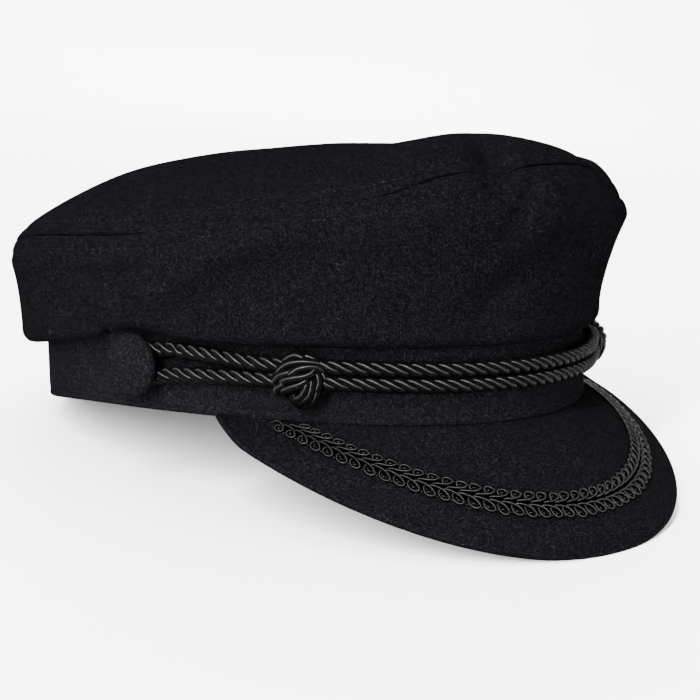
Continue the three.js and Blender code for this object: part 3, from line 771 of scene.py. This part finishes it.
# The side cloth's line: places of its shoulder and belly as shares, then how it rolls in under the overhang
SHOULDER_OUT = 0.35
SHOULDER_UP = 0.55
BELLY_SHARES = (0.78, 0.55, 0.32, 0.12)
ROLL_OVER = 1
ROLL_IN = 0.8
ROLL_UP = 0.9
UNDER_IN = 3.2
UNDER_LEAST = 0.6
BAND_GAP = 0.2
LINE_PARTS = 8
FOLDED_PARTS = 48
UNFOLDED_OVER = 5


def side_line(angle):
    """The side cloth's middle line, from the tip seam down round the overhang and in over the band's top."""
    c = crown_at(angle)
    half = CROWN_CLOTH / 2
    roll_z = c["low"] + ROLL_DEPTH
    top = band_top(angle) + CLEARANCE + half
    turn_in = CLEARANCE + half + BAND_GAP + 0 * angle
    under = np.maximum(c["roll"] - UNDER_IN, turn_in + UNDER_LEAST)
    shoulder = lerp(c["wide"], c["seam_out"], SHOULDER_OUT)
    line = [
        (c["seam_out"] - half, c["seam_z"]),
        (shoulder - half, lerp(c["wide_z"], c["seam_z"], SHOULDER_UP)),
        (c["wide"] - half, c["wide_z"]),
    ]
    for share in BELLY_SHARES:
        line.append((lerp(c["roll"], c["wide"], share**BELLY_CURVE) - half, lerp(roll_z, c["wide_z"], share)))
    line += [
        (c["roll"] - half, roll_z - ROLL_OVER),
        (c["roll"] - half - ROLL_IN, c["low"] + half + ROLL_UP),
        (under, c["low"] + half),
        (lerp(under, turn_in, 0.7), lerp(c["low"] + half, top, 0.4)),
        (turn_in, top),
        (BAND_GAP - BAND_WALL + 0 * angle, top),
    ]
    dense = smooth_curve(np.stack([np.stack(p, -1) for p in line], -2), LINE_PARTS)
    sink, tuck = folded(angle[:, None], dense[..., 1] - c["seam_z"][:, None])
    past = np.maximum(np.arange(dense.shape[1]) - FOLDED_PARTS, 0)
    dense[..., 0] -= tuck * bell(past, UNFOLDED_OVER)
    dense[..., 1] -= sink * bell(past, UNFOLDED_OVER)
    return dense


def faces_out(points):
    round_cap = np.roll(points, -1, 0) - np.roll(points, 1, 0)
    return unit(np.cross(np.gradient(points, axis=1), round_cap))


def seam_line(angle):
    """Where the two panels of the crown meet on the outside."""
    c = crown_at(angle)
    return around(angle, c["seam_out"] - SEAM_LINE_IN, c["seam_z"] + SEAM_LINE_UP)


def both_faces(points, face, away, angle):
    """The outer and inner face of a cloth about its middle points. At its seam it is rounded off where the
    groove is open, and drawn to the other panel where it is closed."""
    opened = column(SEAM_OPEN, SEAM_COLUMNS, "open", angle)[:, None]
    half = CROWN_CLOTH / 2
    edge = rounded(away, SEAM_ROUND)
    outer = points + face * (half * (1 - opened * (1 - edge)))[..., None]
    inner = points - face * (half * (0.4 + 0.6 * edge))[..., None]
    meet = (1 - opened)[..., None] * (seam_line(angle) - outer[:, 0])[:, None]
    return outer + meet * np.exp(-away / SEAM_REACH)[..., None], inner


def relief(swell, angle, away, down, seed, stitch_away):
    """How far a cloth of the crown is lifted by its swells, puckers, stitches and soft folds."""
    pull = STITCH_PULL * bell(away - stitch_away, STITCH_PULL_REACH)
    return swell + puckers(angle, away, seed) - pull - soft_folds(angle, down) * (1 - bell(away, FOLD_FADE))


def crown_side():
    dense = side_line(ANGLES)
    total = lengths(dense)[:, -1:]
    away = SIDE_SHARES * total
    middle = np.stack([at_lengths(line, places) for line, places in zip(dense, away)])
    points = around(ANGLES[:, None], middle[..., 0], middle[..., 1])
    face = faces_out(points)
    face = np.where((face * outward(ANGLES)[:, None])[:, :8].sum(-1).mean() < 0, -face, face)
    hang = np.exp(-(((away - total) / HANG_REACH) ** 4))
    swell = undulation(points, *SIDE_SWELL) * (1 - bell(away, SWELL_FROM_SEAM)) * (1 - hang)
    lift = relief(swell, ANGLES[:, None], away, away, 11, SIDE_STITCH_AWAY)
    outer, inner = both_faces(points + face * lift[..., None], face, away, ANGLES)
    turned_in = np.array([0, 0, SEAM_TURN_UP]) - SEAM_TURN_IN * outward(ANGLES)
    inner = inner + turned_in[:, None] * np.exp(-away / SEAM_REACH)[..., None]
    shape = Shape()
    shape.grid(np.concatenate([outer, inner[:, ::-1]], 1), True, True)
    facing_out(shape).piece("crown_side_cloth", wool_crown_painted_shade, "wool", ["crown_side"])
    return outer, face, away


def tip_middle(angle, share):
    """The top panel's middle surface: share 0 is the seam and 1 the centre."""
    c = crown_at(angle)
    start = c["seam_z"] + CLEARANCE
    out = c["seam_out"] - CROWN_CLOTH / 2
    a = np.radians(angle)
    width = np.hypot((BAND_HALF_WIDTH + out) * np.sin(a), (BAND_HALF_LENGTH + out) * np.cos(a))
    sink, tuck = folded(angle, share * width)
    fade = 1 - share**4
    edge = EDGE_ROUND * (1 - np.exp(-share / 0.025)) * (1 - share)
    dome = (DOME_HEIGHT - start) * (1 - (1 - share) ** DOME_FULLNESS)
    p = around(angle, out - tuck * fade * (1 - share), 0) * (1 - share)[..., None]
    p[..., 2] = start + dome + edge - sink * fade
    return p, width


def crown_tip():
    points, width = tip_middle(TIP_ANGLES[:, None], np.tile(TIP_SHARES, (len(TIP_ANGLES), 1)))
    away = TIP_SHARES * width
    face = faces_out(points)
    face = np.where(face[:, -6:, 2:].mean() < 0, -face, face)
    swell = undulation(points, *TIP_SWELL) * (1 - bell(away, SWELL_FROM_SEAM))
    lift = relief(swell, TIP_ANGLES[:, None], away, -away, 12, TIP_STITCH_AWAY)
    outer, inner = both_faces(points + face * lift[..., None], face, away, TIP_ANGLES)
    shape = Shape()
    rows = np.concatenate([inner[:, ::-1], outer], 1)
    shape.grid(rows, True, False)
    n, m = rows.shape[:2]
    for j, way in ((0, -1), (m - 1, 1)):
        middle = shape.count
        shape.add([rows[:, j].mean(0)], [])
        for i in range(n):
            pair = (i * m + j, (i + 1) % n * m + j)
            shape.faces.append((middle, *pair[::way]))
    facing_out(shape).piece("crown_tip_cloth", wool_crown_painted_shade, "wool", ["crown_tip"])
    return outer, face, away


def surface_line(surface, face, away, distance):
    """The line on a cloth's outer face a distance from its seam, with its outward directions."""
    found = []
    for rows in (surface, face):
        line = np.array([[np.interp(distance, a, row[:, k]) for k in range(3)] for a, row in zip(away, rows)])
        found.append(ringed(line))
    return found[0], unit(found[1])


def stitches(shape, line, up, pitch, dash, radius, rise):
    """A row of stitches along a line on a cloth."""
    run = lengths(line)
    total = run[-1]
    for k in range(int(total / pitch)):
        start = k * pitch + rng.uniform(-STITCH_STRAY, STITCH_STRAY) + STITCH_START
        end = start + dash * rng.uniform(0.9, 1.1)
        places = np.clip(np.linspace(start, end, STITCH_POINTS), 0, total)
        path, out = (np.stack([np.interp(places, run, v[:, j]) for j in range(3)], -1) for v in (line, up))
        out = unit(out)
        arch = np.sin(np.linspace(0, np.pi, STITCH_POINTS))
        path = path + out * (rise * arch - STITCH_SINK)[:, None]
        shape.tube(path, radius * (0.35 + 0.65 * arch), 6, facing=out, wide=1.15)


side_cloth = crown_side()
tip_cloth = crown_tip()

seam_thread = Shape()
stitches(seam_thread, *surface_line(*side_cloth, SIDE_STITCH_AWAY), **SEAM_STITCH)
stitches(seam_thread, *surface_line(*tip_cloth, TIP_STITCH_AWAY), **SEAM_STITCH)
seam_thread.piece("crown_stitches", thread, "wool")


# Band


def band():
    low, top = band_low(ANGLES), band_top(ANGLES)
    groove = HEM_GROOVE + HEM_PULL * np.sin(np.radians(ANGLES) * HEM_PULLS) ** 2
    outer, inner = [], []
    for share in np.concatenate([np.linspace(0, 0.16, 10), np.linspace(0.19, 1, 18)]):
        z = lerp(low, top, share)
        edge = BAND_EDGE_ROUND * (1 - rounded(z - low, BAND_EDGE_ROUND)) * 0.8
        outer.append(around(ANGLES, -edge - groove * bell(z - low - HEM_AWAY, HEM_GROOVE_REACH), z))
        inner.append(around(ANGLES, edge - BAND_WALL, z))
    grid = np.stack(outer[::-1] + inner, 1)
    grid = grid + outward(ANGLES)[:, None] * undulation(grid, *BAND_SWELL)[..., None]
    shape = Shape()
    shape.grid(grid, True, True)
    facing_out(shape).piece("band_cloth", wool_band_painted_light, "wool", ["band"])
    swell = undulation(around(ANGLES, 0, low + HEM_AWAY), *BAND_SWELL)
    hem = around(ANGLES, -HEM_STITCH_IN, low + HEM_AWAY) + outward(ANGLES) * swell[:, None]
    sewn = Shape()
    stitches(sewn, ringed(hem), ringed(outward(ANGLES)), **HEM_STITCH)
    sewn.piece("hem_stitches", thread, "wool")


band()


# Peak


def rim_point(angle):
    a = np.radians(angle)
    turned = np.maximum(0, (np.abs(angle) - PEAK_CORNER_FROM) / (PEAK_HALF_ANGLE - PEAK_CORNER_FROM))
    radius = PEAK_RIM_RADIUS - PEAK_CORNER_TUCK * turned**3
    x = -radius * np.sin(a)
    y = -PEAK_RIM_CENTRE - radius * np.cos(a)
    corner = -PEAK_RIM_CENTRE - PEAK_RIM_RADIUS * np.cos(np.radians(PEAK_HALF_ANGLE))
    tip = -PEAK_RIM_CENTRE - PEAK_RIM_RADIUS
    share = np.maximum(0, (corner - y) / (corner - tip))
    drop = (PEAK_TIP_DROP + PEAK_CORNER_LIFT) * share**PEAK_DROP_CURVE
    return np.stack([x, y, PEAK_CORNER_LIFT - drop], -1)


def peak_reach(angle):
    """Distance in plan from the rim, square to it, to the band's face."""
    turn = np.radians(angle)
    size = np.array([BAND_HALF_WIDTH, BAND_HALF_LENGTH])
    way = np.stack([np.sin(turn), np.cos(turn)], -1) / size
    start = rim_point(angle)[..., :2] / size
    a, b, c = (way**2).sum(-1), (way * start).sum(-1), (start**2).sum(-1) - 1
    return (-b - np.sqrt(np.maximum(b * b - a * c, 0))) / a


def band_angle(p):
    return np.degrees(np.arctan2(-p[..., 0] / BAND_HALF_WIDTH, -p[..., 1] / BAND_HALF_LENGTH))


def peak_point(angle, share):
    """The peak's upper face: share 0 is the rim, and 1 the band's lower edge."""
    rim = rim_point(angle)
    a = np.radians(angle)
    inner = rim + peak_reach(angle)[..., None] * np.stack([np.sin(a), np.cos(a), 0 * a], -1)
    inner[..., 2] = band_low(band_angle(inner)) - CLEARANCE
    p = rim + (inner - rim) * np.asarray(share)[..., None]
    p[..., 2] += PEAK_BULGE * 4 * share * (1 - share) * np.cos(a * 0.9) ** 2
    return p


def peak_face(angle, share):
    across = peak_point(angle, share + 0.01) - peak_point(angle, share - 0.01)
    along = peak_point(angle + 0.5, share) - peak_point(angle - 0.5, share)
    face = unit(np.cross(across, along))
    return np.where(face[..., 2:] < 0, -face, face)


def peak():
    angles = np.linspace(-PEAK_HALF_ANGLE, PEAK_HALF_ANGLE, 241)
    thick = PEAK_THICKNESS * (1 - 0.5 * np.abs(angles / PEAK_HALF_ANGLE) ** 4)[:, None]
    top, under = [], []
    for share in np.concatenate([np.linspace(1, 0.1, 26), np.linspace(0.085, 0.02, 6)]):
        at = peak_point(angles, share + 0 * angles)
        face = peak_face(angles, share + 0 * angles)
        under.insert(0, at - face * thick)
        at[:, 2] += PEAK_TOP_LIFT * share**12
        top.append(at + face * undulation(at, *PEAK_SWELL)[:, None])
    rim = peak_point(angles, 0 * angles)
    face = peak_face(angles, 0.02 + 0 * angles)
    a = np.radians(angles)
    out = np.stack([-np.sin(a), -np.cos(a), 0 * a], -1)
    edge = []
    for turn in np.radians(np.linspace(12, 168, 9)):
        bulge = PEAK_EDGE_OUT * thick * np.sin(turn) - PEAK_EDGE_IN
        edge.append(rim - face * thick * 0.5 * (1 - np.cos(turn)) + out * bulge)
    root = around(band_angle(top[0]), -BAND_WALL, top[0][:, 2])
    grid = np.stack([*top, *edge, *under[:-1], root - PEAK_ROOT * thick * (0, 0, 1), root], 1)
    end = np.clip((np.abs(angles) - PEAK_END_FROM) / (PEAK_END_TO - PEAK_END_FROM), 0, 1)
    grid[..., 2] += (PEAK_END_LIFT * end * end * (3 - 2 * end))[:, None]
    shape = Shape()
    shape.grid(grid, False, True, caps=True)
    facing_out(shape).piece("peak_cloth", wool, "wool", ["peak"])


peak()


# Braid


def gimp_braid():
    """Two rows of loops, their tails towards the wearer's right, over a narrow strip."""
    fine = np.linspace(PEAK_HALF_ANGLE - 1, 1 - PEAK_HALF_ANGLE, 1200)
    length = np.linalg.norm(peak_point(fine, 0 * fine) - peak_point(fine, 1 + 0 * fine), axis=-1)
    kept = length > BRAID_FROM_RIM + 1
    fine, length = fine[kept], length[kept]
    run = lengths(peak_point(fine, np.minimum(BRAID_MIDDLE / length, 0.97)))
    half = len(run) // 2
    first = np.interp(BRAID_FIRST, length[:half], run[:half])
    last = np.interp(BRAID_FIRST, length[:half - 1:-1], run[:half - 1:-1])

    def place(s, w, h):
        """A point of the braid: along it, out towards the rim from its middle, and above the peak."""
        s = np.clip(s, 0, run[-1])
        angle = np.interp(s, run, fine)
        long = np.interp(s, run, length)
        share = np.minimum((BRAID_MIDDLE - w) / long, 1 - BRAID_BAND_GAP / long)
        return peak_point(angle, share) + peak_face(angle, share) * (h + BRAID_LIFT)[:, None]

    shape = Shape()
    strand = smooth_curve(np.array(BRAID_LOOP), 4)
    thick = GIMP_RADIUS * np.where(strand[:, 2] < 0.3, 0.8, 1)
    outer_row = (1, 1, first, last - BRAID_PITCH)
    inner_row = (-1, BRAID_INNER_ROW, first + BRAID_STAGGER, last)
    for side, scale, begin, end in (outer_row, inner_row):
        for start in np.arange(begin, end, BRAID_PITCH):
            if side == -1 and np.interp(start, run, length) < BRAID_MIDDLE + BRAID_INNER_ROOM:
                continue
            wobble = rng.normal(0, 1, 4)
            s = start + strand[:, 0] * (1 + LOOP_STRAY * wobble[0]) + LOOP_SLIDE * wobble[1]
            w = BRAID_SHIFT + side * strand[:, 1] * (1 + LOOP_STRAY * wobble[2]) * scale
            path = place(s, w, strand[:, 2])
            up = unit(place(s, w, strand[:, 2] + 1.0) - path)
            shape.tube(path, thick, GIMP_SIDES, facing=up)
            for s0, w0, h0, r0 in BRAID_PINS:
                beads = r0 * np.array([-0.95, -0.6, 0, 0.6, 0.95])
                pin = place(start + s0 + beads, BRAID_SHIFT + side * w0 * scale + 0 * beads, h0 + 0 * beads)
                shape.tube(pin, r0 * np.array([0.3, 0.8, 1, 0.8, 0.3]), PIN_SIDES)
    under = np.linspace(first + 1, last - 1, 300)
    rows = [place(under, w + 0 * under, h + 0 * under) for w, h in BRAID_STRIP]
    strip = Shape()
    strip.grid(np.stack(rows, 1), False, True, caps=True)
    facing_out(strip)
    shape.add(np.concatenate(strip.points), strip.faces)
    shape.piece("peak_gimp_braid", gimp, "gimp_braid", ["peak_braid"])


gimp_braid()


# Cord


def strand_point(angle, side):
    def value(name):
        return column(STRAND_PLACES, STRAND_COLUMNS, name, np.abs(angle), ring=False)

    apart = side * value("open") * (CORD_RADIUS + STRAND_HALF_GAP)
    base = around(angle, 0, band_low(angle) + value("middle") * BAND_RISE + apart)
    return base + outward(angle) * (CORD_OFF + value("off") * KNOT_LIFT)[..., None]


def face_place(angle, height, out):
    """The local frame of a place on the band's face: its middle, towards the front, up, and outwards."""
    at = np.array(float(angle))
    face = outward(at)
    up = np.array([0, 0, 1.0])
    front = np.cross(up, face) * np.sign(angle)
    centre = around(at, 0, band_low(at) + height) + face * out
    return centre, front, up, face


def placed(place, a, b, c):
    centre, front, up, face = place
    a, b, c = (np.asarray(v, float)[..., None] for v in (a, b, c))
    return centre + a * front + b * up + c * face


def cord_path():
    last = STRAND_PLACES[-1][0]
    angles = np.linspace(last, -last, 121)

    def loop(side):
        place = face_place(side * BUTTON_ANGLE, BUTTON_HEIGHT, CORD_OFF)
        radius = SHANK_RADIUS + CLEARANCE + CORD_RADIUS
        turn = np.radians(HOOK_TURNS)
        return placed(place, radius * np.cos(turn), radius * np.sin(turn), 0 * turn)

    upper, lower = strand_point(angles, 1), strand_point(angles[::-1], -1)
    path = np.concatenate([upper, loop(-1), lower, loop(1)[::-1]])
    path = np.concatenate([path, path[:3]])
    dense = smooth_curve(path, CORD_PARTS)
    run = lengths(dense)
    start, end = run[CORD_PARTS], run[-2 * CORD_PARTS - 1]
    count = int((end - start) / CORD_STEP)
    return at_lengths(dense, np.linspace(start, end, count, endpoint=False))


def twisted_cord():
    path = cord_path()
    along = tangents(path, True)
    first = carried(path, True)
    second = np.cross(along, first)
    run = lengths(ringed(path))
    turns = round(run[-1] / CORD_LAY)
    shape = Shape()
    for ply in range(3):
        turn = 2 * np.pi * (turns * run[:-1] / run[-1] + ply / 3)
        spoke = first * np.cos(turn)[:, None] + second * np.sin(turn)[:, None]
        shape.tube(path + spoke * PLY_OFF, PLY_RADIUS, PLY_SIDES, closed=True, facing=-spoke, wide=1.1)
    shape.piece("twisted_cord", satin, "satin_cord", ["cord_loop"])


twisted_cord()


def knot(side, name):
    place = face_place(side * KNOT_ANGLE, KNOT_HEIGHT, 0)

    def dome(a, b):
        rest = np.clip(1 - (a / KNOT_HALF_WIDTH) ** 2 - ((b + KNOT_DROP) / KNOT_HALF_HEIGHT) ** 2, 0, 1)
        return KNOT_BASE + KNOT_RISE * np.sqrt(rest)

    shape = Shape()
    for _, *points in KNOT_PLIES:
        a, b, lift = smooth_curve(np.array(points), 9).T
        path = placed(place, a, b, np.maximum(dome(a, b) + lift, KNOT_PLY))
        up = unit(placed(place, a * 1.6, b * 1.6, dome(a, b) + lift + 4) - path)
        shape.tube(path, KNOT_PLY, PLY_SIDES, facing=-up, wide=1.05)
    turn = np.radians(np.arange(0, 360, 10))
    a, b = KNOT_CORE_WIDTH * np.cos(turn), KNOT_CORE_HEIGHT * np.sin(turn)
    rows = []
    for r in (0.02, 0.3, 0.6, 0.85, 1):
        lift = np.maximum(dome(r * a, r * b) - KNOT_CORE_UNDER, 1)
        rows.append(placed(place, r * a, r * b - KNOT_CORE_DROP, lift))
    rows.append(placed(place, a, b - KNOT_CORE_DROP, 0 * turn + 0.6))
    shape.grid(np.stack(rows, 0), False, True, caps=True)
    shape.piece(f"{name}_cord", satin, "satin_cord", [name])


knot(1, "knot_right")
knot(-1, "knot_left")


# Buttons


def button(side, name):
    place = face_place(side * BUTTON_ANGLE, BUTTON_HEIGHT, 0)
    base = 2 * CORD_RADIUS + BUTTON_GAP
    shank = [(0.05, CLEARANCE), (SHANK_RADIUS, CLEARANCE), (SHANK_RADIUS, base - 0.2)]
    cover = [(r * BUTTON_RADIUS, base + h * BUTTON_DOME) for r, h in BUTTON_PROFILE]
    turn = np.radians(np.arange(0, 360, 4))
    gather = GATHER_DEPTH * np.sin(turn * GATHERS + 0.6 * np.sin(3 * turn))
    rows = []
    for r, h in smooth_curve(np.array([*shank, *cover, (0.02, base + BUTTON_DOME)]), 4):
        wide = r + gather * bell(h - base, GATHER_REACH) * (r > 0.6 * BUTTON_RADIUS)
        rows.append(placed(place, wide * np.cos(turn), wide * np.sin(turn), h + 0 * turn))
    shape = Shape()
    shape.grid(np.stack(rows, 0), False, True, caps=True)
    facing_out(shape).piece(f"{name}_cover", wool_button_painted_light, "wool", [name])


button(1, "button_right")
button(-1, "button_left")


# Camera, lights and floor

CAMERA_AZIMUTH = -42.383
CAMERA_ELEVATION = 5.784
CAMERA_ROLL = -1.732
CAMERA_PLACE = (-336.5, -391.0, 67.5)
FOCAL_PIXELS = 1437.1
IMAGE_PIXELS = 700
CAP_MIDDLE = (0, 0, 0.06)
BRAID_FRONT = (0, -0.1, 0.03)
FLOOR_PROFILE = ((0.001, 0), (1, 0), (2.2, 0), (2.8, 0.12), (3.15, 0.45), (3.3, 1.0), (3.4, 2.2))
FLOOR_TONE = 0.92
WORLD_STRENGTH = 0.48


def camera():
    az, el, roll = np.radians([CAMERA_AZIMUTH, CAMERA_ELEVATION, CAMERA_ROLL])
    back = np.array([np.sin(az) * np.cos(el), -np.cos(az) * np.cos(el), np.sin(el)])
    right = np.array([np.cos(az), np.sin(az), 0])
    up = np.cross(back, right)
    across = right * np.cos(roll) + up * np.sin(roll)
    upright = -right * np.sin(roll) + up * np.cos(roll)
    data = bpy.data.cameras.new("photo_camera")
    data.sensor_width = 36
    data.lens = data.sensor_width * FOCAL_PIXELS / IMAGE_PIXELS
    data.clip_start = 0.01
    made = added("photo_camera", data)
    where = pitched(CAMERA_PLACE) + REST_MOVE
    made.matrix_world = matrix_of([pitched(v) for v in (across, upright, back)], where * MM)
    bpy.context.scene.camera = made


def area_light(name, place, size, power, target=CAP_MIDDLE, only_on=None):
    """A soft light. One that is kept to some pieces adds to their gloss alone."""
    data = bpy.data.lights.new(name, "AREA")
    data.shape = "RECTANGLE"
    data.size, data.size_y = size
    data.energy = power
    made = added(name, data)
    back = unit(np.array(place) - np.array(target))
    right = unit(np.cross([0, 0, 1.0], back))
    made.matrix_world = matrix_of([right, np.cross(back, right), back], place)
    made.visible_camera = False
    if only_on:
        lit = bpy.data.collections.new(f"lit_by_{name}")
        for piece in only_on:
            lit.objects.link(piece)
        made.light_linking.receiver_collection = lit
        made.visible_diffuse = False


def backdrop():
    """A pale floor that rises far behind, in one sheet."""
    turn = np.radians(np.arange(0, 360, 6))
    rows = []
    for radius, height in FLOOR_PROFILE:
        rows.append(np.stack([radius * np.cos(turn), radius * np.sin(turn), height + 0 * turn], -1))
    sheet = Shape()
    sheet.grid(np.stack(rows, 0), False, True)
    mesh = smooth_mesh("floor", np.concatenate(sheet.points), sheet.faces)
    t = Tree("pale_floor")
    t.surface(Base_Color=(FLOOR_TONE, FLOOR_TONE, FLOOR_TONE, 1), Roughness=1.0, Specular_IOR_Level=0.0)
    mesh.materials.append(t.material)
    made = added("floor", mesh)


def made_of(material):
    pieces = [piece for piece in bpy.context.scene.objects if piece.type == "MESH"]
    return [piece for piece in pieces if material in list(piece.data.materials)]


def surroundings():
    world = bpy.data.worlds.new("studio")
    world.use_nodes = True
    background = world.node_tree.nodes["Background"]
    background.inputs["Color"].default_value = (1, 1, 1, 1)
    background.inputs["Strength"].default_value = WORLD_STRENGTH
    bpy.context.scene.world = world


camera()
backdrop()
surroundings()
cord, braid = made_of(satin), made_of(gimp)
area_light("key", place=(-2.1, -0.9, 1.45), size=(0.18, 3.0), power=560)
area_light("cord_glint", place=(-1.9, -1.3, 1.6), size=(0.2, 0.9), power=4600, only_on=cord)
area_light("braid_glint", (-1.3, -2.1, 1.5), (0.3, 0.9), power=8000, target=BRAID_FRONT, only_on=braid)
area_light("top", place=(0.1, 0.4, 2.7), size=(2.2, 2.2), power=150)
area_light("back", place=(1.6, 2.0, 1.5), size=(1.8, 1.8), power=260)
